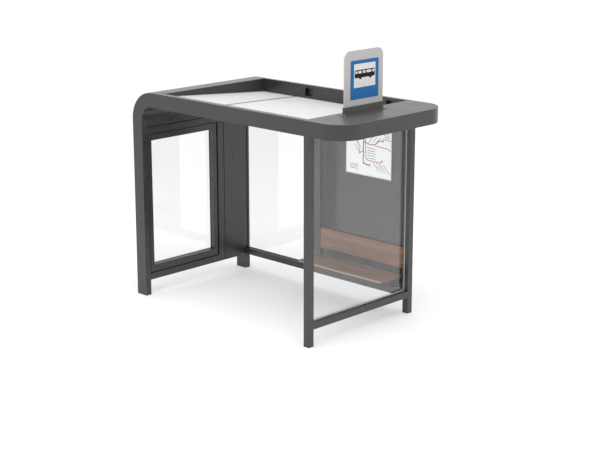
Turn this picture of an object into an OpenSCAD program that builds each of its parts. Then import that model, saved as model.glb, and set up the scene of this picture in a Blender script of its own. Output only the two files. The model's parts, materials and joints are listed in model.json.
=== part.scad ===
// Bus shelter: a bent left end that turns down into two wide posts, a straight-sided roof box,
// two slender right posts, a glazed poster case, glass and dark back walls, a bench and a stop sign.
// Millimetres, +Z up. X runs along the street side from left to right, Y from the open street side
// to the back wall. The origin is at ground level, under the middle of the roof. The sizes below are
// measured from the outer front corner of the left end, and placed() moves each node to the origin.

/* [Overall size] */
// Length of the roof along the street
roof_len = 3450; // [3250:10:3800]
// Depth of the shelter from the open side to the back
depth = 1790; // [1650:10:2000]
// Height of the roof's top above the ground
roof_top = 2570; // [2450:10:2750]
// Height of the roof's side band
band_h = 175; // [165:5:200]
// Thickness of the front roof beam
front_beam_t = 80; // [50:5:90]
// Thickness of the back roof beam
back_beam_t = 50; // [40:5:70]

/* [Roof corners] */
// Outer radius of the bend at the left end
bend_r = 345; // [300:5:400]
// Radius of the two right corners, seen from above
corner_r = 300; // [200:10:350]
// Distance from the left end to the start of the roof panels
left_deck = 506; // [480:2:560]

/* [Posts and rails] */
// Side of the square posts at the right
post = 80; // [70:5:90]
// Width of the two left posts along the street
wide_post = 170; // [160:5:180]
// Position of the right posts' left faces
right_post_x = 2885; // [2600:5:2900]
// Position of the back mullion's left face
mullion_x = 1403; // [1300:1:1600]
// Width of the back mullion along the wall
mullion_w = 120; // [80:5:170]
// Height of the lower rails' undersides above the ground
rail_z = 200; // [150:10:260]
// Wall thickness of the posts and rails
tube_wall = 4; // [3:1:6]

/* [Poster case] */
// Height of the case's lower edge
case_z = 190; // [150:5:200]
// Height of the case's upper edge
case_top = 2114; // [2000:2:2140]
// Depth of the case, measured from the posts' inner faces
case_depth = 84; // [70:2:100]
// Distance from the front to the case's right edge
case_right = 1340; // [1250:5:1400]
// Width of the glazed leaf's stiles
leaf_stile = 56; // [45:1:70]

/* [Roof panels] */
// Height of the panels' upper face at the front, measured to the outer front face
panel_front_z = 2542; // [2530:1:2552]
// Height of the panels' upper face at the back beam
panel_back_z = 2404; // [2404:1:2440]
// Thickness of the panels
panel_t = 8; // [6:1:8]
// Position of the seam at the front
seam_front_x = 1440; // [1200:10:1700]
// Position of the seam at the back
seam_back_x = 1066; // [1000:10:1500]

/* [Bench] */
// Height of the seat's upper face
seat_z = 467; // [440:1:500]
// Distance from the front to the seat's front edge
seat_front_y = 1315; // [1280:5:1360]
// Thickness of the seat and back boards
board_t = 28; // [22:1:35]
// Lowest point of the backrest
backrest_z = 548; // [530:2:570]
// Highest point of the backrest
backrest_top = 806; // [780:2:830]

/* [Stop sign] */
// Width of the sign
sign_w = 630; // [500:10:700]
// Height of the sign's plate
sign_h = 610; // [500:10:700]
// Distance from the front to the sign's nearer edge
sign_y = 515; // [450:5:600]
// Position of the sign's face along the street
sign_x = 3000; // [2975:5:3050]

/* [Hidden] */

dark = [0.30, 0.31, 0.32];
darker = [0.22, 0.23, 0.24];
clear = [0.80, 0.88, 0.90, 0.35];
opal = [0.92, 0.93, 0.94];
timber = [0.62, 0.38, 0.22];
silver = [0.75, 0.75, 0.74];

smooth = 96;                                // $fn of visible round shapes
sheet_t = 4;                                // folded sheet metal
band_z = roof_top - band_h;                 // underside of the roof band
rail_top = rail_z + post;                   // top of the lower rails
bend_centre_z = roof_top - bend_r;          // centre height of the left bend's outer arc
inner_r = bend_r - wide_post;               // inner radius of the left bend
inner_centre_z = band_z - inner_r;          // centre height of the left bend's inner arc
back_face = depth - post;                   // front faces of the back posts
post_right = right_post_x + post;           // outer faces of the right posts
glass_y = depth - post / 2;                 // mid-plane of the back wall's glass and panel
glass_t = 10;
panel_x = mullion_x + mullion_w;            // left edge of the dark panel
end_glass_x = right_post_x + 12;            // mid-plane of the end glass
right_deck = right_post_x - 10;             // inner edge of the right deck
joint = 8;                                  // open joint between panels and frames

// Moves a node from the outer front corner of the left end to the origin
module placed() {
    translate([-roof_len / 2, -depth / 2, 0]) children();
}

// Square or flat tube of size s, open along axis 0 = X, 1 = Y or 2 = Z
module tube(s, wall, axis) {
    cut = [for (i = [0:2]) i == axis ? s[i] + 2 : s[i] - 2 * wall];
    shift = [for (i = [0:2]) i == axis ? -1 : wall];
    difference() {
        cube(s);
        translate(shift) cube(cut);
    }
}

// ---------- posts and rails ----------

// Post with a closed foot and an open upper end
module standing_post(x, y, w, top) {
    translate([x, y, 0]) difference() {
        cube([w, post, top]);
        translate([tube_wall, tube_wall, tube_wall]) cube([w - 2 * tube_wall, post - 2 * tube_wall, top]);
    }
}

module post_front_left() { placed() color(dark) standing_post(0, 0, wide_post, bend_centre_z); }
module post_back_left() { placed() color(dark) standing_post(0, back_face, wide_post, bend_centre_z); }
module post_front_right() { placed() color(dark) standing_post(right_post_x, 0, post, band_z); }
module post_back_right() { placed() color(dark) standing_post(right_post_x, back_face, post, band_z); }

module back_mullion() {
    placed() color(dark) translate([mullion_x, back_face, rail_top])
        tube([mullion_w, post, band_z - rail_top], tube_wall, 2);
}

module back_rail() {
    placed() color(dark) translate([wide_post, back_face, rail_z])
        tube([right_post_x - wide_post, post, post], tube_wall, 0);
}

module end_rail() {
    placed() color(dark) translate([right_post_x, post, rail_z])
        tube([post, back_face - post, post], tube_wall, 1);
}

// ---------- roof ----------

// Side outline of the left bend in X and Z; inset shrinks it for the hollow, which runs out at the deck
module bend_outline(inset) {
    outer = bend_r - inset;
    inner = inner_r + inset;
    difference() {
        union() {
            intersection() {
                translate([bend_r, bend_centre_z]) circle(r = outer, $fn = smooth);
                translate([0, bend_centre_z + inset]) square([bend_r, bend_r]);
            }
            translate([bend_r, band_z + inset]) square([left_deck - bend_r + inset, band_h - 2 * inset]);
        }
        translate([wide_post + inner_r, inner_centre_z]) circle(r = inner, $fn = smooth);
        translate([wide_post - inset, 0]) square([bend_r, inner_centre_z]);
    }
}

module left_bend() {
    placed() color(dark) translate([0, depth, 0]) rotate([90, 0, 0]) difference() {
        linear_extrude(height = depth) bend_outline(0);
        translate([0, 0, sheet_t]) linear_extrude(height = depth - 2 * sheet_t) bend_outline(sheet_t);
    }
}

// Closed lintel between the left posts, above the poster case
module left_header() {
    placed() color(dark) translate([0, post, case_top + joint])
        tube([wide_post, back_face - post, bend_centre_z - case_top - joint], sheet_t, 1);
}

module roof_beam(y, t) {
    translate([left_deck, y, band_z]) tube([right_deck - left_deck, t, band_h], tube_wall, 0);
}

module front_beam() { placed() color(dark) roof_beam(0, front_beam_t); }

drain_w = 128;
drain_h = 100;
drain_z = roof_top - 137;                   // lower edge of the drain openings
drain_x = [1236, 2556];                     // left edges of the drain openings

module back_beam() {
    placed() color(dark) difference() {
        roof_beam(depth - back_beam_t, back_beam_t);
        for (x = drain_x)
            translate([x, depth - back_beam_t - 1, drain_z]) cube([drain_w, tube_wall + 2, drain_h]);
    }
}

// Upright plate inside a deck that closes its side towards the roof panels
module inner_plate(x) {
    translate([x, sheet_t, band_z + sheet_t]) cube([sheet_t, depth - 2 * sheet_t, band_h - 2 * sheet_t]);
}

module left_inner_plate() { placed() color(darker) inner_plate(left_deck - sheet_t); }
module right_inner_plate() { placed() color(darker) inner_plate(right_deck); }

// Plan outline of the right deck, with two rounded outer corners, inset on the outside
module deck_outline(inset) {
    r = corner_r - inset;
    intersection() {
        union() {
            translate([right_deck, inset]) square([roof_len - right_deck - corner_r, depth - 2 * inset]);
            translate([right_deck, corner_r]) square([roof_len - right_deck - inset, depth - 2 * corner_r]);
            for (y = [corner_r, depth - corner_r])
                translate([roof_len - corner_r, y]) circle(r = r, $fn = smooth);
        }
        translate([right_deck, 0]) square([roof_len - right_deck, depth]);
    }
}

module right_top_plate() {
    placed() color(dark) translate([0, 0, roof_top - sheet_t])
        linear_extrude(height = sheet_t) deck_outline(0);
}

module right_skirt() {
    placed() color(dark) translate([0, 0, band_z + sheet_t]) linear_extrude(height = band_h - 2 * sheet_t)
        difference() {
            deck_outline(0);
            deck_outline(sheet_t);
            translate([right_deck - 1, sheet_t]) square([2, depth - 2 * sheet_t]);
        }
}

module right_soffit() {
    placed() color(dark) translate([0, 0, band_z]) linear_extrude(height = sheet_t) deck_outline(0);
}

// Height of the panels' upper face at a distance y from the front
function panel_z(y) = panel_front_z + (panel_back_z - panel_front_z) * y / (depth - back_beam_t);
function seam_x(y) = seam_front_x + (seam_back_x - seam_front_x) * y / (depth - back_beam_t);

panel_y0 = front_beam_t;
panel_y1 = depth - back_beam_t;
seam_gap = 8;
plan_z0 = band_z - 50;                      // foot and height of the prisms that cut the sloping pieces
plan_h = 300;

// Slice between two parallel planes that fall towards the back, top lies "below" under the panels' face
module sloping_slab(x0, x1, below, t, y0, y1) {
    translate([x0, 0, 0]) rotate([90, 0, 90]) linear_extrude(height = x1 - x0)
        polygon([
            [y0, panel_z(y0) - below], [y1, panel_z(y1) - below],
            [y1, panel_z(y1) - below - t], [y0, panel_z(y0) - below - t]
        ]);
}

// Upright prism over the plan of one panel; the seam side is oblique
module panel_plan(x_edge, side) {
    translate([0, 0, plan_z0]) linear_extrude(height = plan_h)
        polygon([
            [x_edge, panel_y0], [seam_x(panel_y0) + side * seam_gap / 2, panel_y0],
            [seam_x(panel_y1) + side * seam_gap / 2, panel_y1], [x_edge, panel_y1]
        ]);
}

module roof_panel_left() {
    placed() color(opal) intersection() {
        sloping_slab(left_deck, right_deck, 0, panel_t, panel_y0, panel_y1);
        panel_plan(left_deck, -1);
    }
}

module roof_panel_right() {
    placed() color(opal) intersection() {
        sloping_slab(left_deck, right_deck, 0, panel_t, panel_y0, panel_y1);
        panel_plan(right_deck, 1);
    }
}

bearer_w = 40;
bearer_y1 = panel_y1 - 190;                // the tapering bearer ends where it is too thin to carry

// Tapered bearer under the seam: level below, sloping with the panels above
module seam_bearer() {
    placed() color(darker) intersection() {
        translate([left_deck, 0, 0]) rotate([90, 0, 90]) linear_extrude(height = right_deck - left_deck)
            polygon([
                [panel_y0, panel_z(panel_y0) - panel_t], [bearer_y1, panel_z(bearer_y1) - panel_t],
                [bearer_y1, band_z], [panel_y0, band_z]
            ]);
        translate([0, 0, plan_z0]) linear_extrude(height = plan_h)
            polygon([
                [seam_x(panel_y0) - bearer_w / 2, panel_y0], [seam_x(panel_y0) + bearer_w / 2, panel_y0],
                [seam_x(bearer_y1) + bearer_w / 2, bearer_y1], [seam_x(bearer_y1) - bearer_w / 2, bearer_y1]
            ]);
    }
}

ledge_w = 25;
ledge_t = 5;
ledge_y1 = panel_y1 - 80;

// Ledge under a panel along a deck, behind the front ledge
module side_ledge(x) {
    sloping_slab(x, x + ledge_w, panel_t, ledge_t, panel_y0 + ledge_w, ledge_y1);
}

module left_ledge() { placed() color(darker) side_ledge(left_deck); }
module right_ledge() { placed() color(darker) side_ledge(right_deck - ledge_w); }

module front_ledge() {
    placed() color(darker) for (span = [[left_deck, seam_x(panel_y0) - bearer_w / 2],
                               [seam_x(panel_y0) + bearer_w / 2, right_deck]])
        sloping_slab(span[0], span[1], panel_t, ledge_t, panel_y0, panel_y0 + ledge_w);
}

// ---------- poster case in the left wall ----------

case_x = wide_post - case_depth;            // outer face of the case
case_rail_h = 84;                           // lower and upper case rails
case_stile_w = 100;
leaf_gap = 12;                              // shadow gap under the leaf
leaf_gap_top = 8;                           // shadow gap above the leaf
side_gap = 24;                              // wider shadow gap on the closing side
leaf_bottom_h = 88;                         // heights of the leaf's lower and upper rails
leaf_top_h = 74;
case_y = post + joint;
leaf_z0 = case_z + case_rail_h + leaf_gap;
leaf_z1 = case_top - case_rail_h - leaf_gap_top;
leaf_y0 = case_y;
leaf_y1 = case_right - case_stile_w - side_gap;
open_z0 = leaf_z0 + leaf_bottom_h;          // visible opening of the leaf
open_z1 = leaf_z1 - leaf_top_h;
open_y0 = leaf_y0 + leaf_stile;
open_y1 = leaf_y1 - leaf_stile;

case_wall = 3;                              // wall thickness of the case's tubes
lip_t = 4;                                  // thickness of the lips behind the shadow gaps
lip_over = 10;                              // how far a lip runs on behind the leaf
rails_z0 = case_z + case_rail_h;            // upper face of the case's lower rail
rails_z1 = case_top - case_rail_h;          // lower face of the case's upper rail
stile_y = case_right - case_stile_w;        // left face of the case's stile

module case_bar(y0, y1, z0, z1, x0, axis) {
    translate([x0, y0, z0]) tube([wide_post - x0, y1 - y0, z1 - z0], case_wall, axis);
}

// Lip on the case's outer face that closes a shadow gap from behind
module case_lip(y0, y1, z0, z1) {
    translate([case_x, y0, z0]) cube([lip_t, y1 - y0, z1 - z0]);
}

module case_bottom_rail() {
    placed() color(dark) union() {
        case_bar(post, case_right, case_z, rails_z0, case_x, 1);
        case_lip(case_y, stile_y, rails_z0, leaf_z0 + lip_over);
    }
}

module case_top_rail() {
    placed() color(dark) union() {
        case_bar(post, case_right, rails_z1, case_top, case_x, 1);
        case_lip(case_y, stile_y, leaf_z1 - lip_over, rails_z1);
    }
}

module case_stile() {
    placed() color(dark) union() {
        case_bar(stile_y, case_right, rails_z0, rails_z1, case_x, 2);
        case_lip(leaf_y1 - lip_over, stile_y, leaf_z0 + lip_over, leaf_z1 - lip_over);
    }
}

module infill_panel() {
    placed() color(dark) case_bar(case_right + joint, back_face, case_z, case_top, case_x, 2);
}

leaf_x = case_x + lip_t;                    // outer face of the leaf
leaf_glass_t = 6;
leaf_glass_in = 4;                          // distance from the leaf's outer face to its glass

module leaf_bottom_rail() { placed() color(dark) case_bar(leaf_y0, leaf_y1, leaf_z0, open_z0, leaf_x, 1); }
module leaf_top_rail() { placed() color(dark) case_bar(leaf_y0, leaf_y1, open_z1, leaf_z1, leaf_x, 1); }
module leaf_left_stile() { placed() color(dark) case_bar(leaf_y0, open_y0, open_z0, open_z1, leaf_x, 2); }
module leaf_right_stile() { placed() color(dark) case_bar(open_y1, leaf_y1, open_z0, open_z1, leaf_x, 2); }

module case_glass() {
    placed() color(clear) translate([leaf_x + leaf_glass_in, open_y0, open_z0])
        cube([leaf_glass_t, open_y1 - open_y0, open_z1 - open_z0]);
}

// ---------- back and end walls ----------

module back_glass() {
    placed() color(clear) translate([wide_post, glass_y - glass_t / 2, rail_top])
        cube([mullion_x - wide_post, glass_t, band_z - rail_top]);
}

module back_panel() {
    placed() color(darker) translate([panel_x, glass_y - glass_t / 2, rail_top])
        cube([right_post_x - panel_x, glass_t, band_z - rail_top]);
}

module end_glass() {
    placed() color(clear) translate([end_glass_x - glass_t / 2, post, rail_top])
        cube([glass_t, back_face - post, band_z - rail_top]);
}

// ---------- map ----------

map_x = 1931;
map_z = 1578;
map_w = 726;
map_h = 700;
map_lip = 9;                                // width of the frame's face
map_t = 12;
panel_face = glass_y - glass_t / 2;         // front of the dark panel

module map_frame() {
    placed() color(silver) translate([map_x, panel_face - map_t, map_z]) difference() {
        cube([map_w, map_t, map_h]);
        translate([map_lip, -1, map_lip]) cube([map_w - 2 * map_lip, map_t + 2, map_h - 2 * map_lip]);
    }
}

module map_board() {
    placed() color(opal) translate([map_x + map_lip, panel_face - map_t + 4, map_z + map_lip])
        cube([map_w - 2 * map_lip, map_t - 4, map_h - 2 * map_lip]);
}

// ---------- bench ----------

bench_x0 = panel_x + 10;                    // left end of the boards
bench_x1 = right_post_x - 3;                // right end of the boards
bench_len = bench_x1 - bench_x0;
seat_back_y = back_face - 15;               // rear edge of the seat
backrest_y = back_face;                     // front face of the backrest
round_r = 6;

// Board with eased long edges: w by t in section, running along X
module board(len, w, t) {
    rotate([90, 0, 90]) linear_extrude(height = len) union() {
        translate([round_r, 0]) square([w - 2 * round_r, t]);
        translate([0, round_r]) square([w, t - 2 * round_r]);
        for (a = [round_r, w - round_r], b = [round_r, t - round_r])
            translate([a, b]) circle(r = round_r, $fn = 24);
    }
}

module bench_seat() {
    placed() color(timber) translate([bench_x0, seat_front_y, seat_z - board_t])
        board(bench_len, seat_back_y - seat_front_y, board_t);
}

module bench_back() {
    placed() color(timber) translate([bench_x0, backrest_y + board_t, backrest_z])
        rotate([90, 0, 0]) board(bench_len, backrest_top - backrest_z, board_t);
}

arm_t = 8;                                  // thickness of the brackets' arms
arm_tip = 25;                               // depth of an arm at its front end
arm_in = 20;                                // distance from the seat's front edge to the arm's end
strap_w = 50;                               // width of the upright straps behind the backrest
bracket_in = 150;                           // distance from the bench's end to a bracket's middle

// Upright strap on the back rail that carries the backrest, with a tapered arm under the seat
module bench_bracket(x) {
    under = seat_z - board_t;
    strap_y = backrest_y + board_t;
    translate([x - strap_w / 2, strap_y, rail_top])
        cube([strap_w, panel_face - strap_y, backrest_top - rail_top - arm_in]);
    translate([x - arm_t / 2, 0, 0]) rotate([90, 0, 90]) linear_extrude(height = arm_t)
        polygon([
            [seat_front_y + arm_in, under], [strap_y, under], [strap_y, rail_top],
            [back_face, rail_top], [seat_front_y + arm_in, under - arm_tip]
        ]);
}

module bench_bracket_left() { placed() color(darker) bench_bracket(bench_x0 + bracket_in); }
module bench_bracket_right() { placed() color(darker) bench_bracket(bench_x1 - bracket_in); }

// ---------- stop sign ----------

foot_h = 85;
foot_t = 46;
flange_over = 42;                           // how far the base flange runs past the foot
flange_w = 90;
flange_t = 6;
sign_t = 18;
sign_corner = 85;
sign_z = roof_top + foot_h;

module sign_foot() {
    placed() color(darker) union() {
        translate([sign_x - flange_w / 2, sign_y - flange_over, roof_top])
            cube([flange_w, sign_w + 2 * flange_over, flange_t]);
        translate([sign_x - foot_t / 2, sign_y, roof_top]) cube([foot_t, sign_w, foot_h]);
    }
}

// Upright plate outline in Y and Z with two rounded upper corners, inset all round
module sign_outline(inset) {
    r = sign_corner - inset;
    w = sign_w - 2 * inset;
    translate([inset, inset]) union() {
        square([w, sign_h - 2 * inset - r]);
        translate([r, 0]) square([w - 2 * r, sign_h - 2 * inset]);
        for (y = [r, w - r]) translate([y, sign_h - 2 * inset - r]) circle(r = r, $fn = smooth);
    }
}

module sign_plate() {
    placed() color(silver) translate([sign_x - sign_t / 2, sign_y, sign_z]) rotate([90, 0, 90])
        linear_extrude(height = sign_t) sign_outline(0);
}

face_w = 462;
face_h = 431;
face_y = sign_y + 92;
face_z = sign_z + 69;
face_t = 1.5;
face_r = 10;

// Coloured field with small round corners, on both sides of the sign
module sign_face() {
    placed() color("royalblue") for (x = [sign_x - sign_t / 2 - face_t, sign_x + sign_t / 2])
        translate([x, face_y, face_z]) rotate([90, 0, 90]) linear_extrude(height = face_t) union() {
            translate([face_r, 0]) square([face_w - 2 * face_r, face_h]);
            translate([0, face_r]) square([face_w, face_h - 2 * face_r]);
            for (y = [face_r, face_w - face_r], z = [face_r, face_h - face_r])
                translate([y, z]) circle(r = face_r, $fn = 32);
        }
}

post_front_left();
post_back_left();
post_front_right();
post_back_right();
back_mullion();
back_rail();
end_rail();
left_bend();
left_header();
front_beam();
back_beam();
left_inner_plate();
right_inner_plate();
right_top_plate();
right_skirt();
right_soffit();
roof_panel_left();
roof_panel_right();
seam_bearer();
left_ledge();
right_ledge();
front_ledge();
case_bottom_rail();
case_top_rail();
case_stile();
infill_panel();
leaf_bottom_rail();
leaf_top_rail();
leaf_left_stile();
leaf_right_stile();
case_glass();
back_glass();
back_panel();
end_glass();
map_frame();
map_board();
bench_seat();
bench_back();
bench_bracket_left();
bench_bracket_right();
sign_foot();
sign_plate();
sign_face();
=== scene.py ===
"""Looks of the bus shelter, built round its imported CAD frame.

Metres, +Z up. X runs along the street side from the bent left end to the sign, Y from the open side
to the back wall. Every place comes from the frame's own nodes. The sections are: tools, materials,
the CAD nodes' finishes, seals, joint rubber, screws, the map, the stop sign, the stage.
"""
import json
import math

import bmesh
import bpy
from mathutils import Matrix, Vector


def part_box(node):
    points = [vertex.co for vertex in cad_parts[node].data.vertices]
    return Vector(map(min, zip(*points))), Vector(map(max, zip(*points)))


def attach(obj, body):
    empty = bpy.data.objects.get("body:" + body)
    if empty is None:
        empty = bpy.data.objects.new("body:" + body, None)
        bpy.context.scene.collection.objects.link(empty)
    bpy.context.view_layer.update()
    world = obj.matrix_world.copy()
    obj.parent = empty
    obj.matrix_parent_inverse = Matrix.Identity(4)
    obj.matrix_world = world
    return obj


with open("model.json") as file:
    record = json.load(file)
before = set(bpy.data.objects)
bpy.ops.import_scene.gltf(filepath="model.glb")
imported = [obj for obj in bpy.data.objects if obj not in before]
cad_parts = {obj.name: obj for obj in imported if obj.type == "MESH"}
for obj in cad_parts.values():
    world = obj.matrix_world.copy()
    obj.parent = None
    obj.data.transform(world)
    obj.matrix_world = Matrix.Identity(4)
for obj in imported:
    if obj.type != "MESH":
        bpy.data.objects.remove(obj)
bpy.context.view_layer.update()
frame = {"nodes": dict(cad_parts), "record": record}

MM = 0.001


# ---------- tools: node trees ----------

class Tree:
    """A material's node tree, with short calls for the nodes that the finishes use."""

    def __init__(self, name):
        self.material = bpy.data.materials.new(name)
        self.material.use_nodes = True
        self.nodes = self.material.node_tree.nodes
        self.links = self.material.node_tree.links
        self.nodes.clear()
        self.output = self.nodes.new("ShaderNodeOutputMaterial")

    def set(self, socket, value):
        """Links a socket to an output, or sets it to a number, colour or vector."""
        if isinstance(value, bpy.types.NodeSocket):
            self.links.new(value, socket)
        else:
            socket.default_value = value

    def node(self, kind, inputs=None, **settings):
        made = self.nodes.new("ShaderNode" + kind)
        for key, value in settings.items():
            setattr(made, key, value)
        for key, value in (inputs or {}).items():
            self.set(made.inputs[key], value)
        return made

    def place(self, stretch=(1, 1, 1), offset=(0, 0, 0)):
        """The point on the object in metres, stretched and moved."""
        coordinates = self.node("TexCoord").outputs["Object"]
        mapping = self.node("Mapping", {"Vector": coordinates, "Scale": stretch, "Location": offset})
        return mapping.outputs[0]

    def noise(self, scale, vector, detail=3.0, roughness=0.5, distortion=0.0):
        made = self.node("TexNoise", {
            "Vector": vector, "Scale": scale, "Detail": detail,
            "Roughness": roughness, "Distortion": distortion,
        })
        return made.outputs["Fac"]

    def math(self, operation, a, b=0.0, c=0.0):
        return self.node("Math", {0: a, 1: b, 2: c}, operation=operation).outputs[0]

    def span(self, value, low, high, to_low=0.0, to_high=1.0):
        """Maps low..high to to_low..to_high, held at both ends."""
        made = self.node("MapRange", {
            "Value": value, "From Min": low, "From Max": high, "To Min": to_low, "To Max": to_high,
        })
        return made.outputs[0]

    def blend(self, share, a, b):
        """The colour that is a where share is 0 and b where it is 1."""
        made = self.node("Mix", data_type="RGBA")
        self.set(made.inputs["Factor"], share)
        self.set(made.inputs["A"], a)
        self.set(made.inputs["B"], b)
        return made.outputs["Result"]

    def bump(self, height, distance, strength):
        inputs = {"Height": height, "Distance": distance, "Strength": strength}
        return self.node("Bump", inputs).outputs[0]

    def edges(self, radius):
        """1 along the piece's edges and 0 on its faces, from how far a rounded normal leans."""
        lean_none, lean_full = 0.995, 0.85
        rounded = self.node("Bevel", {"Radius": radius}, samples=4).outputs[0]
        true = self.node("NewGeometry").outputs["Normal"]
        dot = self.node("VectorMath", {0: rounded, 1: true}, operation="DOT_PRODUCT").outputs["Value"]
        return self.span(dot, lean_none, lean_full)

    def finish(self, shader):
        self.links.new(shader, self.output.inputs["Surface"])
        return self.material


def grey(value, warm=0.0):
    """A nearly neutral colour; warm moves it from blue to yellow."""
    return (value * (1 + warm), value, value * (1 - warm), 1.0)


# ---------- tools: meshes ----------

def add_piece(name, mesh, material):
    """Links a mesh to the scene as a piece that stands on the shelter."""
    made = bpy.data.objects.new(name, mesh)
    bpy.context.scene.collection.objects.link(made)
    mesh.materials.append(material)
    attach(made, "root")
    return made


def to_mesh(bm, name, degrees=40):
    """Turns bm into a smooth mesh whose edges are sharp where faces meet at more than degrees."""
    mesh = bpy.data.meshes.new(name)
    bmesh.ops.recalc_face_normals(bm, faces=bm.faces)
    bm.to_mesh(mesh)
    bm.free()
    mesh.shade_smooth()
    mesh.set_sharp_from_angle(angle=math.radians(degrees))
    return mesh


def add_prism(bm, outline, depth, matrix):
    """A closed prism: outline is a list of (a, b) points, and depth runs along the third axis."""
    low = [bm.verts.new(matrix @ Vector((a, b, 0))) for a, b in outline]
    high = [bm.verts.new(matrix @ Vector((a, b, depth))) for a, b in outline]
    bm.faces.new(low[::-1])
    bm.faces.new(high)
    for i in range(len(outline)):
        j = (i + 1) % len(outline)
        bm.faces.new((low[i], low[j], high[j], high[i]))


def rounded_rectangle(a0, b0, a1, b1, radius, steps=6):
    """Outline of a rectangle with rounded corners, anticlockwise."""
    points = []
    corners = ((a1 - radius, b1 - radius, 0), (a0 + radius, b1 - radius, 90),
               (a0 + radius, b0 + radius, 180), (a1 - radius, b0 + radius, 270))
    for a, b, start in corners:
        for i in range(steps + 1):
            angle = math.radians(start + 90 * i / steps)
            points.append((a + radius * math.cos(angle), b + radius * math.sin(angle)))
    return points


def circle(a, b, radius, steps=32):
    return [(a + radius * math.cos(math.tau * i / steps), b + radius * math.sin(math.tau * i / steps))
            for i in range(steps)]


def capsule(start, end, width, steps=6):
    """Outline of a stroke with round ends from start to end."""
    (a0, b0), (a1, b1) = start, end
    heading = math.atan2(b1 - b0, a1 - a0)
    points = []
    for (a, b), turn in (((a1, b1), -90), ((a0, b0), 90)):
        for i in range(steps + 1):
            angle = heading + math.radians(turn + 180 * i / steps)
            points.append((a + width / 2 * math.cos(angle), b + width / 2 * math.sin(angle)))
    return points


def basis(origin, a_axis, b_axis, out_axis):
    """Matrix that takes (a, b, depth) to the frame."""
    columns = Matrix((a_axis, b_axis, out_axis)).transposed().to_4x4()
    return Matrix.Translation(origin) @ columns


# ---------- materials ----------

def powder_coat(name, value, roughness, warm=0.0, ior=1.58):
    """Satin powder coat: fine grain and orange peel, slight cloudiness, and paler rubbed edges."""
    edge_width, rub_share, peel_depth = 2.5 * MM, 0.30, 0.06 * MM
    t = Tree(name)
    place = t.place()
    cloud = t.noise(1.4, place, detail=4.0, roughness=0.6)
    grain = t.noise(650.0, place, detail=2.0)
    peel = t.noise(240.0, place, detail=2.0, roughness=0.4)
    rub = t.math("MULTIPLY", t.edges(edge_width), t.span(t.noise(16.0, place, detail=5.0), 0.40, 0.75))
    colour = t.blend(t.span(cloud, 0.3, 0.7), grey(value * 0.93, warm), grey(value * 1.07, warm))
    colour = t.blend(t.span(grain, 0.35, 0.65, 0.0, 0.16), colour, grey(value * 1.5, warm))
    colour = t.blend(t.math("MULTIPLY", rub, rub_share), colour, grey(value * 2.2, warm))
    smear = t.noise(5.0, t.place(stretch=(1.0, 1.0, 0.35)), detail=5.0, roughness=0.65)
    shine = t.span(smear, 0.30, 0.72, roughness - 0.045, roughness + 0.055)
    shader = t.node("BsdfPrincipled", {
        "Base Color": colour, "Roughness": shine,
        "Normal": t.bump(peel, peel_depth, 0.5), "IOR": ior,
    })
    return t.finish(shader.outputs[0])


def pane_glass(name, tint):
    """Clear pane that lets light straight through and mirrors more at a slant, with a breath of dust."""
    head_on, at_a_slant, slant_power, dust = 0.058, 0.94, 5.0, 0.008
    t = Tree(name)
    facing = t.node("LayerWeight", {"Blend": 0.5}).outputs["Facing"]
    slant = t.math("POWER", facing, slant_power)
    mirror = t.math("MULTIPLY_ADD", slant, at_a_slant, head_on)
    through = t.node("BsdfTransparent", {"Color": tint})
    ripple = t.bump(t.noise(2.2, t.place(), detail=1.0), 0.12 * MM, 0.25)
    gloss = t.node("BsdfGlossy", {"Color": (1, 1, 1, 1), "Roughness": 0.015, "Normal": ripple})
    clean = t.node("MixShader", {0: mirror, 1: through.outputs[0], 2: gloss.outputs[0]})
    streaks = t.noise(7.0, t.place(stretch=(1.0, 1.0, 0.4)), detail=6.0, roughness=0.7)
    haze = t.node("BsdfDiffuse", {"Color": grey(0.75), "Roughness": 0.5})
    dusty = t.node("MixShader", {
        0: t.span(streaks, 0.45, 0.85, 0.0, dust), 1: clean.outputs[0], 2: haze.outputs[0],
    })
    return t.finish(dusty.outputs[0])


def opal_sheet(name):
    """Milky roof sheet with a soft gloss that passes some light, with faint stains and specks."""
    milk_share = 0.42
    t = Tree(name)
    place = t.place()
    stain = t.noise(1.6, t.place(stretch=(1.0, 0.5, 1.0)), detail=2.0, roughness=0.5)
    speck = t.noise(90.0, place, detail=3.0, roughness=0.7)
    colour = t.blend(t.span(stain, 0.40, 0.70), grey(0.71, -0.004), grey(0.67, 0.012))
    colour = t.blend(t.span(speck, 0.64, 0.80, 0.0, 0.10), colour, grey(0.55, 0.03))
    face = t.node("BsdfPrincipled", {
        "Base Color": colour, "Roughness": t.span(stain, 0.3, 0.8, 0.26, 0.42),
        "Normal": t.bump(t.noise(30.0, place, detail=2.0), 0.1 * MM, 0.25),
    })
    milk = t.node("BsdfTranslucent", {"Color": grey(0.92, 0.005)})
    sheet = t.node("MixShader", {0: milk_share, 1: face.outputs[0], 2: milk.outputs[0]})
    return t.finish(sheet.outputs[0])


def laminate(name, value):
    """Glossy dark laminate, slightly cloudy, with faint wiping marks."""
    t = Tree(name)
    wipe = t.noise(3.5, t.place(stretch=(1.0, 1.0, 0.5)), detail=6.0, roughness=0.65, distortion=0.6)
    cloud = t.noise(9.0, t.place(), detail=3.0)
    colour = t.blend(t.span(cloud, 0.35, 0.70), grey(value * 0.92, -0.01), grey(value * 1.08, -0.01))
    shader = t.node("BsdfPrincipled", {
        "Base Color": colour, "Roughness": t.span(wipe, 0.3, 0.75, 0.035, 0.11), "IOR": 1.52,
        "Normal": t.bump(t.noise(5.0, t.place(), detail=1.0), 0.25 * MM, 0.15),
    })
    return t.finish(shader.outputs[0])


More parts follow.
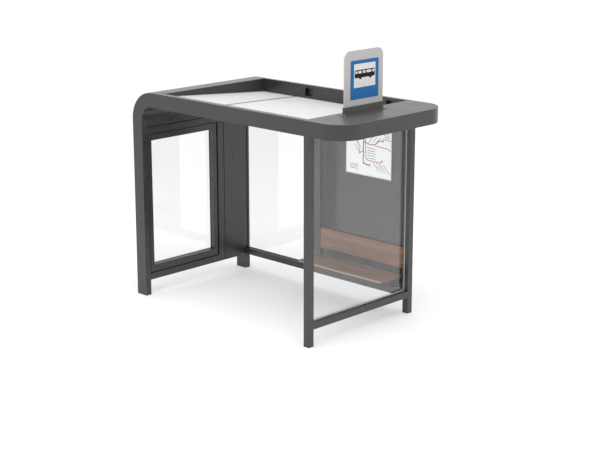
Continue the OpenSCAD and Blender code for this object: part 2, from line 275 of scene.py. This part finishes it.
def metal(name, value, roughness, stretch=(1, 1, 1)):
    """Bare satin metal with a fine drawn grain."""
    t = Tree(name)
    grain = t.noise(700.0, t.place(stretch=stretch), detail=3.0)
    shader = t.node("BsdfPrincipled", {
        "Base Color": t.blend(t.span(grain, 0.3, 0.7), grey(value * 0.88), grey(value * 1.08)),
        "Metallic": 1.0, "Roughness": t.span(grain, 0.3, 0.7, roughness - 0.05, roughness + 0.07),
        "Normal": t.bump(grain, 0.03 * MM, 0.3),
    })
    return t.finish(shader.outputs[0])


def film(name, colour, roughness=0.3, depth=0.06, gloss=0.5, glow=0.0):
    """Printed or cut film: even colour with slight fading and a soft gloss; glow makes it give off light,
    painted light that brightens it.
    """
    t = Tree(name)
    place = t.place()
    fade = t.noise(6.0, place, detail=4.0)
    deep = tuple(c * (1 - depth) for c in colour[:3]) + (1.0,)
    pale = tuple(min(1.0, c * (1 + depth) + 0.002) for c in colour[:3]) + (1.0,)
    shader = t.node("BsdfPrincipled", {
        "Base Color": t.blend(t.span(fade, 0.3, 0.7), deep, pale),
        "Roughness": t.span(fade, 0.3, 0.7, roughness - 0.04, roughness + 0.06),
        "Normal": t.bump(t.noise(320.0, place, detail=1.0), 0.02 * MM, 0.3),
        "Specular IOR Level": gloss, "Emission Color": (1, 1, 1, 1), "Emission Strength": glow,
    })
    return t.finish(shader.outputs[0])


def silicone(name):
    """Pale silicone seal, smooth with a little dust; its pale colour is partly a painted highlight."""
    t = Tree(name)
    dust = t.noise(25.0, t.place(), detail=5.0, roughness=0.7)
    shader = t.node("BsdfPrincipled", {
        "Base Color": t.blend(t.span(dust, 0.40, 0.75), grey(0.50), grey(0.40, 0.02)),
        "Roughness": t.span(dust, 0.3, 0.8, 0.28, 0.45),
        "Normal": t.bump(t.noise(60.0, t.place(), detail=2.0), 0.15 * MM, 0.4),
    })
    return t.finish(shader.outputs[0])


def rubber(name):
    """Black sealing rubber, matt with a faint bloom."""
    t = Tree(name)
    bloom = t.noise(40.0, t.place(), detail=5.0, roughness=0.7)
    shader = t.node("BsdfPrincipled", {
        "Base Color": t.blend(t.span(bloom, 0.4, 0.8), grey(0.012), grey(0.035)),
        "Roughness": t.span(bloom, 0.3, 0.8, 0.55, 0.75),
        "Normal": t.bump(t.noise(500.0, t.place(), detail=1.0), 0.05 * MM, 0.4),
        "Specular IOR Level": 0.2,
    })
    return t.finish(shader.outputs[0])


# Tones of the oiled timber
DARK_RING, PALE_RING = (0.120, 0.046, 0.021, 1), (0.350, 0.158, 0.075, 1)
PALE_FIBRE, DARK_PORE = (0.42, 0.205, 0.105, 1), (0.055, 0.022, 0.011, 1)
DARK_STAVE, END_GRAIN = (0.13, 0.060, 0.036, 1), (0.060, 0.026, 0.014, 1)
# The last of these is a painted sheen for a flat board's front face.
FRONT_FACE_SHEEN = (0.38, 0.30, 0.25, 1)


def hardwood(name, across, start, pitch):
    """Oiled hardwood board along X, glued up from staves that repeat along the axis across (1 or 2) from
    start at every pitch. Each stave has its own figure and tone. The ends are dark. A board that lies flat
    has its front-facing side painted a pale grey-brown: a painted sheen, the washed-out look of that lit
    face."""
    t = Tree(name)
    coordinates = t.node("TexCoord").outputs["Object"]
    apart = t.node("SeparateXYZ", {0: coordinates}).outputs[across]
    stave = t.math("FLOOR", t.math("DIVIDE", t.math("SUBTRACT", apart, start), pitch))
    jump = t.node("CombineXYZ", {0: t.math("MULTIPLY", stave, 3.7), 1: t.math("MULTIPLY", stave, 1.9)})
    moved = t.node("VectorMath", {0: coordinates, 1: jump.outputs[0]}, operation="ADD").outputs[0]
    long_grain = t.node("Mapping", {"Vector": moved, "Scale": (0.9, 12.0, 12.0)}).outputs[0]
    fine_grain = t.node("Mapping", {"Vector": moved, "Scale": (6.0, 160.0, 160.0)}).outputs[0]
    pore_grain = t.node("Mapping", {"Vector": moved, "Scale": (14.0, 420.0, 420.0)}).outputs[0]
    figure = t.noise(1.6, long_grain, detail=5.0, roughness=0.55, distortion=0.9)
    rings = t.math("FRACT", t.math("MULTIPLY", figure, 9.0))
    rings = t.math("ABSOLUTE", t.math("SUBTRACT", rings, 0.5))
    fibre = t.noise(1.0, fine_grain, detail=4.0, roughness=0.6)
    pores = t.noise(1.0, pore_grain, detail=2.0)
    tone = t.node("TexWhiteNoise", {"W": stave}, noise_dimensions="1D").outputs["Value"]
    colour = t.blend(t.span(rings, 0.05, 0.45), DARK_RING, PALE_RING)
    colour = t.blend(t.span(fibre, 0.30, 0.72, 0.0, 0.55), colour, PALE_FIBRE)
    colour = t.blend(t.span(pores, 0.60, 0.72, 0.0, 0.75), colour, DARK_PORE)
    colour = t.blend(t.span(tone, 0.0, 1.0, 0.0, 0.50), colour, DARK_STAVE)
    facing = t.node("SeparateXYZ", {0: t.node("NewGeometry").outputs["Normal"]}).outputs
    end_grain = t.span(t.math("ABSOLUTE", facing[0]), 0.5, 0.9)
    colour = t.blend(t.math("MULTIPLY", end_grain, 0.75), colour, END_GRAIN)
    if across == 1:
        # Painted sheen: the front-facing side of a flat board is painted pale grey-brown.
        front_sheen = t.span(facing[1], -0.4, -0.9)
        colour = t.blend(t.math("MULTIPLY", front_sheen, 0.7), colour, FRONT_FACE_SHEEN)
    wear = t.noise(3.0, moved, detail=4.0)
    height = t.math("SUBTRACT", t.math("MULTIPLY", fibre, 0.6), t.math("MULTIPLY", pores, 0.7))
    shader = t.node("BsdfPrincipled", {
        "Base Color": colour, "Roughness": t.span(wear, 0.3, 0.7, 0.40, 0.58),
        "Normal": t.bump(height, 0.35 * MM, 0.5),
    })
    return t.finish(shader.outputs[0])


ANTHRACITE = powder_coat("anthracite_coat", 0.024, 0.30)
# The inner frame parts get a darker, rougher copy of the anthracite: painted shade on the same coat as the
# frame.
PAINTED_SHADE_COAT = powder_coat("anthracite_painted_shade", 0.022, 0.42)
CLEAR_PANE = pane_glass("clear_pane", (0.957, 0.962, 0.960, 1.0))
OPAL = opal_sheet("opal_sheet")
LAMINATE = laminate("dark_laminate", 0.030)
SATIN_ALUMINIUM = metal("satin_aluminium", 0.62, 0.32, stretch=(1.0, 1.0, 0.05))
STAINLESS = metal("stainless", 0.56, 0.24)
SILVER_COAT = powder_coat("silver_coat", 0.40, 0.40, warm=0.012)
FOOT_COAT = powder_coat("foot_coat", 0.055, 0.40)
# The right top plate gets a paler copy of the anthracite that mirrors more at a slant: painted light on its
# top.
TOP_PLATE_LIT_COAT = powder_coat("top_plate_painted_light", 0.040, 0.42, ior=1.80)
SEAL_RUBBER = rubber("seal_rubber")
PALE_SEAL_HIGHLIGHT = silicone("pale_seal_painted_highlight")
# The map paper glows: painted light that brightens it in the shelter's shade.
PAPER = film("map_paper", (0.90, 0.90, 0.91, 1), 0.35, depth=0.02, glow=0.22)
BLUE_FILM = film("blue_film", (0.006, 0.115, 0.34, 1), 0.35, gloss=0.2)
WHITE_FILM = film("white_film", (0.64, 0.63, 0.63, 1), 0.28, depth=0.02)
BLACK_FILM = film("black_film", (0.004, 0.004, 0.004, 1), 0.55, gloss=0.15)

# ---------- the CAD nodes' finishes ----------

SEAT_LOW, SEAT_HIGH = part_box("bench_seat")
BACK_LOW, BACK_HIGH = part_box("bench_back")
SEAT_STAVES, BACK_STAVES = 8, 6
SEAT_PITCH = (SEAT_HIGH.y - SEAT_LOW.y) / SEAT_STAVES
BACK_PITCH = (BACK_HIGH.z - BACK_LOW.z) / BACK_STAVES

SLOT_FINISH = {
    "frame": ANTHRACITE, "inner_frame": PAINTED_SHADE_COAT, "glass": CLEAR_PANE, "roof_panel": OPAL,
    "dark_panel": LAMINATE, "map_frame": SATIN_ALUMINIUM, "map_sheet": PAPER,
    "sign_metal": SILVER_COAT, "sign_face": BLUE_FILM,
}
NODE_FINISH = {
    "bench_seat": hardwood("seat_timber", 1, SEAT_LOW.y, SEAT_PITCH),
    "bench_back": hardwood("back_timber", 2, BACK_LOW.z, BACK_PITCH),
    "sign_foot": FOOT_COAT, "right_top_plate": TOP_PLATE_LIT_COAT,
}
EDGE_RADIUS = {
    "frame": 2.0 * MM, "inner_frame": 1.2 * MM, "timber": 1.5 * MM, "sign_metal": 1.5 * MM,
    "map_frame": 0.8 * MM, "glass": 0.8 * MM, "roof_panel": 0.8 * MM, "dark_panel": 0.8 * MM,
}
SHARP_FROM = math.cos(math.radians(30))
TOUCH = 0.1 * MM
WELD_GAP = 0.01 * MM


def sharp_edges(mesh):
    """Edge indices of the mesh where its faces meet at an angle, though its faces don't share vertices."""
    keys = [tuple(round(c, 6) for c in v.co) for v in mesh.vertices]
    normals = {}
    for polygon in mesh.polygons:
        for a, b in polygon.edge_keys:
            normals.setdefault(frozenset((keys[a], keys[b])), []).append(polygon.normal.copy())
    found = []
    for edge in mesh.edges:
        a, b = edge.vertices
        around = normals.get(frozenset((keys[a], keys[b])), [])
        if any(n.dot(around[0]) < SHARP_FROM for n in around[1:]):
            found.append(edge.index)
    return found


def inside(point, box):
    low, high = box
    return all(low[i] - TOUCH < point[i] < high[i] + TOUCH for i in range(3))


def soften(obj, radius, neighbours):
    """Rounds the node's edges, apart from those that butt against a neighbour of the same finish."""
    mesh = obj.data
    if "custom_normal" in mesh.attributes:
        mesh.attributes.remove(mesh.attributes["custom_normal"])
    mesh.shade_smooth()
    weights = [0.0] * len(mesh.edges)
    hard = [False] * len(mesh.edges)
    for i in sharp_edges(mesh):
        a, b = mesh.edges[i].vertices
        middle = (mesh.vertices[a].co + mesh.vertices[b].co) / 2
        if any(inside(middle, box) for box in neighbours):
            hard[i] = True
        else:
            weights[i] = 1.0
    mesh.attributes.new("bevel_weight_edge", "FLOAT", "EDGE").data.foreach_set("value", weights)
    sharp = mesh.attributes.get("sharp_edge") or mesh.attributes.new("sharp_edge", "BOOLEAN", "EDGE")
    sharp.data.foreach_set("value", hard)
    weld = obj.modifiers.new("weld", "WELD")
    weld.merge_threshold = WELD_GAP
    bevel = obj.modifiers.new("edges", "BEVEL")
    bevel.limit_method = "WEIGHT"
    bevel.width = radius
    bevel.segments = 3
    bevel.use_clamp_overlap = True
    bevel.harden_normals = True


slot_of = {part["node"]: part["material_slot"] for part in frame["record"]["subparts"]}
for node, obj in frame["nodes"].items():
    slot = slot_of[node]
    for material_slot in obj.material_slots:
        material_slot.material = NODE_FINISH.get(node) or SLOT_FINISH[slot]
    if slot in EDGE_RADIUS:
        near = [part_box(other) for other in frame["nodes"] if other != node and slot_of[other] == slot]
        soften(obj, EDGE_RADIUS[slot], near if slot == "frame" else [])


# ---------- seals round the panes ----------

def add_frame_bead(bm, matrix, width, height, profile):
    """A mitred bead round a width by height rectangle. profile lists (inwards, out) points, and the
    bead closes on itself."""
    loops = []
    for inwards, out in profile:
        corners = ((inwards, inwards), (width - inwards, inwards),
                   (width - inwards, height - inwards), (inwards, height - inwards))
        loops.append([bm.verts.new(matrix @ Vector((a, b, out))) for a, b in corners])
    for i in range(len(loops)):
        here, there = loops[i], loops[(i + 1) % len(loops)]
        for j in range(4):
            k = (j + 1) % 4
            bm.faces.new((here[j], here[k], there[k], there[j]))


def bead_profile(foot, rise):
    """Section of a wedge seal: foot along the pane and rise along the frame, with a soft nose."""
    return [(0, 0), (0, rise), (0.25 * foot, rise), (0.6 * foot, 0.75 * rise), (foot, 0.2 * rise), (foot, 0)]


X_AXIS, Y_AXIS, Z_AXIS = Vector((1, 0, 0)), Vector((0, 1, 0)), Vector((0, 0, 1))
PANEL_SEAL = 5 * MM


def seal_pane(node, thin_axis, foot, rise_low, rise_high, material):
    """Seals on both faces of a pane that is thin along X (0) or Y (1). Foot is their width on the pane, and
    the rises are how far they stand out on its low and its high side."""
    low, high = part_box(node)
    bm = bmesh.new()
    if thin_axis == 1:
        width = high.x - low.x
        sides = ((Vector((low.x, low.y, low.z)), X_AXIS, -Y_AXIS, rise_low),
                 (Vector((high.x, high.y, low.z)), -X_AXIS, Y_AXIS, rise_high))
    else:
        width = high.y - low.y
        sides = ((Vector((low.x, high.y, low.z)), -Y_AXIS, -X_AXIS, rise_low),
                 (Vector((high.x, low.y, low.z)), Y_AXIS, X_AXIS, rise_high))
    for origin, along, out, rise in sides:
        matrix = basis(origin, along, Z_AXIS, out)
        add_frame_bead(bm, matrix, width, high.z - low.z, bead_profile(foot, rise))
    add_piece(node + "_seal", to_mesh(bm, node + "_seal", 25), material)


seal_pane("back_glass", 1, 4 * MM, 4 * MM, 4 * MM, SEAL_RUBBER)
seal_pane("back_panel", 1, PANEL_SEAL, PANEL_SEAL, PANEL_SEAL, SEAL_RUBBER)
# The end glass's seals are pale: partly real seals, partly a painted highlight along the glass's foot and
# far edge.
seal_pane("end_glass", 0, 6 * MM, 6 * MM, 6 * MM, PALE_SEAL_HIGHLIGHT)
seal_pane("case_glass", 0, 4 * MM, 3 * MM, 4 * MM, SEAL_RUBBER)


def panel_sill():
    """Pale drip strip on the back rail, from the panel's face to the rail's front, with a turned-up back."""
    panel_low, panel_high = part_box("back_panel")
    rail_low, rail_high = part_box("back_rail")
    inset, thick, upstand, end_gap = 1.5 * MM, 1.5 * MM, 9 * MM, 1 * MM
    y0, y1 = rail_low.y + inset, panel_low.y - PANEL_SEAL
    section = ((y0, 0), (y1, 0), (y1, upstand), (y1 - thick, upstand), (y1 - thick, 1.6 * thick),
               (y1 - 2.2 * thick, thick), (y0 + thick, thick), (y0, 0.5 * thick))
    bm = bmesh.new()
    matrix = basis(Vector((panel_low.x + end_gap, 0, rail_high.z)), Y_AXIS, Z_AXIS, X_AXIS)
    add_prism(bm, section, panel_high.x - panel_low.x - 2 * end_gap, matrix)
    add_piece("panel_sill", to_mesh(bm, "panel_sill", 25), SILVER_COAT)


panel_sill()


# ---------- rubber in the case's joints and between the roof panels ----------

CASE_RECESS = 14 * MM


def add_strip(bm, low, high):
    """Rubber strip that fills a joint, recessed in X, with a hollow face on both sides."""
    lip, dish = 1 * MM, 0.6 * MM
    shoulder = 0.25 * min(high.y - low.y, high.z - low.z)
    rings = []
    for inward, x in ((0, low.x + lip), (0, high.x - lip), (shoulder, high.x - lip - dish),
                      (shoulder, low.x + lip + dish)):
        corners = ((low.y + inward, low.z + inward), (high.y - inward, low.z + inward),
                   (high.y - inward, high.z - inward), (low.y + inward, high.z - inward))
        rings.append([bm.verts.new(Vector((x, y, z))) for y, z in corners])
    outer_low, outer_high, inner_high, inner_low = rings
    for here, there in ((outer_low, outer_high), (outer_high, inner_high), (inner_low, outer_low)):
        for j in range(4):
            k = (j + 1) % 4
            bm.faces.new((here[j], here[k], there[k], there[j]))
    bm.faces.new(inner_high)
    bm.faces.new(inner_low[::-1])


def case_joints():
    header_low, header_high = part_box("left_header")
    rail_low, rail_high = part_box("case_top_rail")
    stile_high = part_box("case_stile")[1]
    infill_low, infill_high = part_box("infill_panel")
    near, far = rail_low.x + CASE_RECESS, rail_high.x - CASE_RECESS
    bm = bmesh.new()
    add_strip(bm, Vector((near, header_low.y, rail_high.z)), Vector((far, header_high.y, header_low.z)))
    add_strip(bm, Vector((near, stile_high.y, infill_low.z)), Vector((far, infill_low.y, infill_high.z)))
    add_piece("case_joint_rubber", to_mesh(bm, "case_joint_rubber", 25), SEAL_RUBBER)


def upper_corner(node, back, rightmost):
    """The upper corner of a roof panel at its front or back edge, on its left or right side."""
    points = [v.co for v in frame["nodes"][node].data.vertices]
    edge = max(p.y for p in points) if back else min(p.y for p in points)
    row = [p for p in points if abs(p.y - edge) < TOUCH]
    side = max(p.x for p in row) if rightmost else min(p.x for p in row)
    column = [p for p in row if abs(p.x - side) < TOUCH]
    return max(column, key=lambda p: p.z)


def roof_seam():
    """T-shaped rubber along the oblique seam between the roof panels."""
    lap, rise, depth = 8 * MM, 2 * MM, 5 * MM
    bm = bmesh.new()
    loops = []
    for back in (False, True):
        a = upper_corner("roof_panel_left", back, True)
        b = upper_corner("roof_panel_right", back, False)
        section = ((a.x - lap, 0), (a.x - 0.5 * lap, rise), (b.x + 0.5 * lap, rise), (b.x + lap, 0),
                   (b.x, 0), (b.x, -depth), (a.x, -depth), (a.x, 0))
        loops.append([bm.verts.new(Vector((x, a.y, a.z + z))) for x, z in section])
    front, rear = loops
    for i in range(len(front)):
        j = (i + 1) % len(front)
        bm.faces.new((front[i], front[j], rear[j], rear[i]))
    bm.faces.new(front)
    bm.faces.new(rear[::-1])
    add_piece("roof_seam_rubber", to_mesh(bm, "roof_seam_rubber", 35), SEAL_RUBBER)


case_joints()
roof_seam()


# ---------- screws ----------

def add_screw(bm, centre, out, radius, rise):
    """Low domed head with a six-sided socket, standing on centre and facing out."""
    turn = Z_AXIS.rotation_difference(out).to_matrix().to_4x4()
    matrix = Matrix.Translation(centre) @ turn
    steps = 20
    socket, depth = 0.46 * radius, 0.55 * rise
    rings = [(radius, 0.0), (radius, 0.35 * rise), (0.86 * radius, 0.75 * rise), (0.62 * radius, rise)]
    loops = [[bm.verts.new(matrix @ Vector((a, b, z))) for a, b in circle(0, 0, r, steps)] for r, z in rings]
    for low, high in zip(loops, loops[1:]):
        for i in range(steps):
            j = (i + 1) % steps
            bm.faces.new((low[i], low[j], high[j], high[i]))
    bm.faces.new(loops[0][::-1])
    flats = math.pi / 3
    hexagon = []
    for i in range(steps):
        angle = math.tau * i / steps
        apothem = math.cos(flats / 2) / math.cos((angle % flats) - flats / 2)
        hexagon.append((socket * apothem * math.cos(angle), socket * apothem * math.sin(angle)))
    rim = [bm.verts.new(matrix @ Vector((a, b, rise))) for a, b in hexagon]
    floor = [bm.verts.new(matrix @ Vector((a, b, rise - depth))) for a, b in hexagon]
    for low, high in ((loops[-1], rim), (rim, floor)):
        for i in range(steps):
            j = (i + 1) % steps
            bm.faces.new((low[i], low[j], high[j], high[i]))
    bm.faces.new(floor)


def add_screws(name, places, out, radius, rise):
    bm = bmesh.new()
    for place in places:
        add_screw(bm, place, out, radius, rise)
    add_piece(name, to_mesh(bm, name, 35), STAINLESS)


def middle(node):
    low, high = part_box(node)
    return (low + high) / 2


SCREW_IN = 55 * MM
SCREW_RADIUS, SCREW_RISE = 6 * MM, 2 * MM
bracket_xs = [middle("bench_bracket_left").x, middle("bench_bracket_right").x]
seat_rows = [SEAT_LOW.y + SCREW_IN, middle("bench_seat").y, SEAT_HIGH.y - SCREW_IN]
back_rows = [BACK_LOW.z + SCREW_IN, BACK_HIGH.z - SCREW_IN]
add_screws("seat_screws", [Vector((x, y, SEAT_HIGH.z)) for x in bracket_xs for y in seat_rows],
           Z_AXIS, SCREW_RADIUS, SCREW_RISE)
add_screws("back_screws", [Vector((x, BACK_LOW.y, z)) for x in bracket_xs for z in back_rows],
           -Y_AXIS, SCREW_RADIUS, SCREW_RISE)

FOOT_LOW, FOOT_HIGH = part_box("sign_foot")
PLATE_LOW, PLATE_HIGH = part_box("sign_plate")
FLANGE_T = 6 * MM
BOLT_SPREAD = 24 * MM
BOLT_RADIUS, BOLT_RISE = 8 * MM, 5 * MM
flange_ends = [(FOOT_LOW.y + PLATE_LOW.y) / 2, (FOOT_HIGH.y + PLATE_HIGH.y) / 2]
add_screws("sign_bolts", [Vector((middle("sign_foot").x + side * BOLT_SPREAD, y, FOOT_LOW.z + FLANGE_T))
                          for side in (-1, 1) for y in flange_ends], Z_AXIS, BOLT_RADIUS, BOLT_RISE)


# ---------- the map ----------

MAP_LOW, MAP_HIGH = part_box("map_board")
MAP_W, MAP_H = MAP_HIGH.x - MAP_LOW.x, MAP_HIGH.z - MAP_LOW.z
PRINT_T = 0.3 * MM
MAP_FACE = basis(Vector((MAP_LOW.x, MAP_LOW.y, MAP_LOW.z)), X_AXIS, Z_AXIS, -Y_AXIS)

# Lines of a made-up network: ink, width in mm, and points as shares of the sheet
MAP_LINES = (
    ("green", 16.5, ((0.38, 0.96), (0.38, 0.21), (0.51, 0.18))),
    ("red", 9, ((0.43, 0.96), (0.43, 0.62))),
    ("pink", 10.5, ((0.43, 0.62), (0.43, 0.32), (0.46, 0.28), (0.58, 0.27))),
    ("orange", 10.5, ((0.58, 0.27), (0.76, 0.26), (0.80, 0.30))),
    ("red", 12, ((0.40, 0.59), (0.54, 0.56), (0.64, 0.57), (0.73, 0.65), (0.82, 0.66))),
    ("grey", 7.5, ((0.64, 0.55), (0.92, 0.54), (0.99, 0.50))),
    ("grey", 7.5, ((0.19, 0.64), (0.30, 0.48), (0.29, 0.37), (0.36, 0.42))),
    ("grey", 7.5, ((0.80, 0.70), (0.99, 0.68))),
    ("blue", 9, ((0.12, 0.88), (0.30, 0.88), (0.38, 0.82))),
    ("orange", 9, ((0.43, 0.84), (0.62, 0.90), (0.90, 0.90))),
)
# Stops on it: ink, radius in mm, and place
MAP_STOPS = (
    ("red", 12, (0.82, 0.66)), ("orange", 12, (0.80, 0.30)), ("white", 11, (0.40, 0.60)),
    ("white", 9, (0.53, 0.20)), ("orange", 10, (0.90, 0.90)), ("blue", 10, (0.12, 0.88)),
    ("white", 8, (0.40, 0.82)),
)
# Rows of short parallel strokes: first stroke's start and end, the step to the next, and how many
MAP_STROKES = (
    ((0.47, 0.50), (0.65, 0.49), (0.0, -0.045), 5),
    ((0.60, 0.25), (0.75, 0.10), (0.075, -0.005), 4),
    ((0.50, 0.60), (0.59, 0.70), (0.085, 0.005), 3),
    ((0.19, 0.53), (0.27, 0.41), (0.045, 0.08), 2),
    ((0.84, 0.74), (0.97, 0.72), (0.0, 0.035), 4),
    ((0.08, 0.16), (0.26, 0.16), (0.0, -0.035), 3),
)
INK = {
    "green": film("ink_green", (0.06, 0.22, 0.07, 1)), "red": film("ink_red", (0.55, 0.030, 0.025, 1)),
    "pink": film("ink_pink", (0.52, 0.17, 0.12, 1)), "orange": film("ink_orange", (0.60, 0.13, 0.03, 1)),
    "grey": film("ink_grey", (0.025, 0.027, 0.030, 1), gloss=0.2),
    "blue": film("ink_blue", (0.05, 0.15, 0.40, 1)), "white": WHITE_FILM,
}
# How high inks and stops stand, in thicknesses of print, so that what crosses doesn't share a face
INK_RISE = {"white": 3, "red": 2, "orange": 2, "pink": 1.5}
STOP_RISE, STOP_RING_RISE = 4, 2.5
# Width in mm of the dark ring round a white stop
STOP_RING = 3
STROKE_W = 6 * MM


def on_map(share):
    return (share[0] * MAP_W, share[1] * MAP_H)


def map_prints():
    """One mesh per ink: capsules along each line, discs at the stops and thin strokes beside them."""
    meshes = {ink: bmesh.new() for ink in INK}
    for ink, width, points in MAP_LINES:
        for start, end in zip(points, points[1:]):
            outline = capsule(on_map(start), on_map(end), width * MM)
            add_prism(meshes[ink], outline, PRINT_T * INK_RISE.get(ink, 1), MAP_FACE)
    for ink, radius, place in MAP_STOPS:
        if ink == "white":
            ring = circle(*on_map(place), (radius + STOP_RING) * MM)
            add_prism(meshes["grey"], ring, PRINT_T * STOP_RING_RISE, MAP_FACE)
        add_prism(meshes[ink], circle(*on_map(place), radius * MM), PRINT_T * STOP_RISE, MAP_FACE)
    for start, end, step, count in MAP_STROKES:
        for i in range(count):
            a = (start[0] + i * step[0], start[1] + i * step[1])
            b = (end[0] + i * step[0], end[1] + i * step[1])
            add_prism(meshes["grey"], capsule(on_map(a), on_map(b), STROKE_W), PRINT_T, MAP_FACE)
    for ink, bm in meshes.items():
        add_piece("map_ink_" + ink, to_mesh(bm, "map_ink_" + ink), INK[ink])


map_prints()

# ---------- the stop sign ----------

FIELD_LOW, FIELD_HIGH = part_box("sign_face")
FIELD_W, FIELD_H = FIELD_HIGH.y - FIELD_LOW.y, FIELD_HIGH.z - FIELD_LOW.z
FILM_T = 0.5 * MM
BUS_RISE, WHEEL_RISE, WINDOW_RISE = 2 * FILM_T, 2.4 * FILM_T, 3 * FILM_T
# The white plate's lower and upper corner, as shares of the blue field
PLATE_LOW_SHARE, PLATE_HIGH_SHARE = (0.117, 0.30), (0.883, 0.905)
PLATE_CORNER = 4 * MM
# The bus: its place as shares of the field, then everything else as shares of its length
BUS_PLACE = (0.14, 0.505)
BUS_LENGTH = 0.72 * FIELD_W
BUS_BODY = (0.0, 0.055, 1.0, 0.315)
BUS_CORNER = 0.040
BUS_WINDOWS = ((0.035, 0.13), (0.18, 0.34), (0.40, 0.53), (0.58, 0.82), (0.88, 0.98))
WINDOW_FOOT, WINDOW_TOP, WINDOW_CORNER = 0.195, 0.280, 0.016
BUS_WHEELS = (0.28, 0.78)
WHEEL_RADIUS = 0.066


def bus_outline():
    """Side of a bus with rounded corners; its wheels stand at 0."""
    body = rounded_rectangle(*BUS_BODY, BUS_CORNER)
    return [(a * BUS_LENGTH, b * BUS_LENGTH) for a, b in body]


def sign_side(name, matrix):
    """The field's graphics on one side: a white rectangle, a black bus, and its white windows."""
    white, black, windows = bmesh.new(), bmesh.new(), bmesh.new()
    (left, foot), (right, top) = PLATE_LOW_SHARE, PLATE_HIGH_SHARE
    plate = rounded_rectangle(left * FIELD_W, foot * FIELD_H, right * FIELD_W, top * FIELD_H, PLATE_CORNER)
    add_prism(white, plate, FILM_T, matrix)
    place = matrix @ Matrix.Translation((BUS_PLACE[0] * FIELD_W, BUS_PLACE[1] * FIELD_H, 0))
    add_prism(black, bus_outline(), BUS_RISE, place)
    radius = WHEEL_RADIUS * BUS_LENGTH
    for share in BUS_WHEELS:
        add_prism(black, circle(share * BUS_LENGTH, radius, radius), WHEEL_RISE, place)
    for start, end in BUS_WINDOWS:
        glass = rounded_rectangle(start * BUS_LENGTH, WINDOW_FOOT * BUS_LENGTH, end * BUS_LENGTH,
                                  WINDOW_TOP * BUS_LENGTH, WINDOW_CORNER * BUS_LENGTH)
        add_prism(windows, glass, WINDOW_RISE, place)
    add_piece(name + "_plate", to_mesh(white, name + "_plate"), WHITE_FILM)
    add_piece(name + "_bus", to_mesh(black, name + "_bus"), BLACK_FILM)
    add_piece(name + "_windows", to_mesh(windows, name + "_windows"), WHITE_FILM)


sign_side("sign_right", basis(Vector((FIELD_HIGH.x, FIELD_LOW.y, FIELD_LOW.z)), Y_AXIS, Z_AXIS, X_AXIS))
sign_side("sign_left", basis(Vector((FIELD_LOW.x, FIELD_HIGH.y, FIELD_LOW.z)), -Y_AXIS, Z_AXIS, -X_AXIS))

# ---------- the stage: floor, lights and camera ----------

FLOOR_HALF = 80.0
FLOOR_GREY, FLOOR_GREY_PALE = 0.675, 0.685
FLOOR_GLOW = 0.29
WORLD_STRENGTH = 1.05
LAMP_PLACE, LAMP_SIZE, LAMP_WATTS = (1.5, -2.0, 9.0), 7.0, 420.0
CAMERA_PLACE = (11.661, -11.803, 5.394)
CAMERA_AZIMUTH, CAMERA_ELEVATION = 44.061, 14.748
CAMERA_LENS, CAMERA_SENSOR, CAMERA_REACH = 85.85, 36.0, 300.0


def stage_floor():
    """A wide pale floor that runs past the view, a little mottled, and glows so that it meets the white."""
    half = FLOOR_HALF
    mesh = bpy.data.meshes.new("floor")
    corners = [(-half, -half, 0), (half, -half, 0), (half, half, 0), (-half, half, 0)]
    mesh.from_pydata(corners, [], [(0, 1, 2, 3)])
    t = Tree("pale_floor")
    mottle = t.noise(0.8, t.place(), detail=4.0)
    shader = t.node("BsdfPrincipled", {
        "Base Color": t.blend(t.span(mottle, 0.3, 0.7), grey(FLOOR_GREY), grey(FLOOR_GREY_PALE)),
        "Roughness": 0.8,
        "Specular IOR Level": 0.2, "Emission Color": (1, 1, 1, 1), "Emission Strength": FLOOR_GLOW,
    })
    mesh.materials.append(t.finish(shader.outputs[0]))
    floor = bpy.data.objects.new("floor", mesh)
    bpy.context.scene.collection.objects.link(floor)


def area_light(name, place, target, size, watts):
    light = bpy.data.lights.new(name, "AREA")
    light.shape = "DISK"
    light.size = size
    light.energy = watts
    made = bpy.data.objects.new(name, light)
    made.location = place
    made.rotation_euler = (Vector(target) - Vector(place)).to_track_quat("-Z", "Y").to_euler()
    bpy.context.scene.collection.objects.link(made)


def world_light(strength):
    world = bpy.data.worlds.new("studio")
    world.use_nodes = True
    world.node_tree.nodes["Background"].inputs["Color"].default_value = (1, 1, 1, 1)
    world.node_tree.nodes["Background"].inputs["Strength"].default_value = strength
    bpy.context.scene.world = world


def add_camera(place, azimuth, elevation, lens):
    """Camera that looks along azimuth (0 is +Y, turning towards -X) and down by elevation, in degrees."""
    data = bpy.data.cameras.new("camera")
    data.lens = lens
    data.sensor_width = CAMERA_SENSOR
    data.clip_end = CAMERA_REACH
    made = bpy.data.objects.new("camera", data)
    made.location = place
    made.rotation_euler = (math.radians(90 - elevation), 0, math.radians(azimuth))
    bpy.context.scene.collection.objects.link(made)
    bpy.context.scene.camera = made


stage_floor()
world_light(WORLD_STRENGTH)
area_light("overhead", LAMP_PLACE, (0, 0, 0), LAMP_SIZE, LAMP_WATTS)
add_camera(CAMERA_PLACE, CAMERA_AZIMUTH, CAMERA_ELEVATION, CAMERA_LENS)
bpy.context.scene.view_settings.view_transform = "Standard"
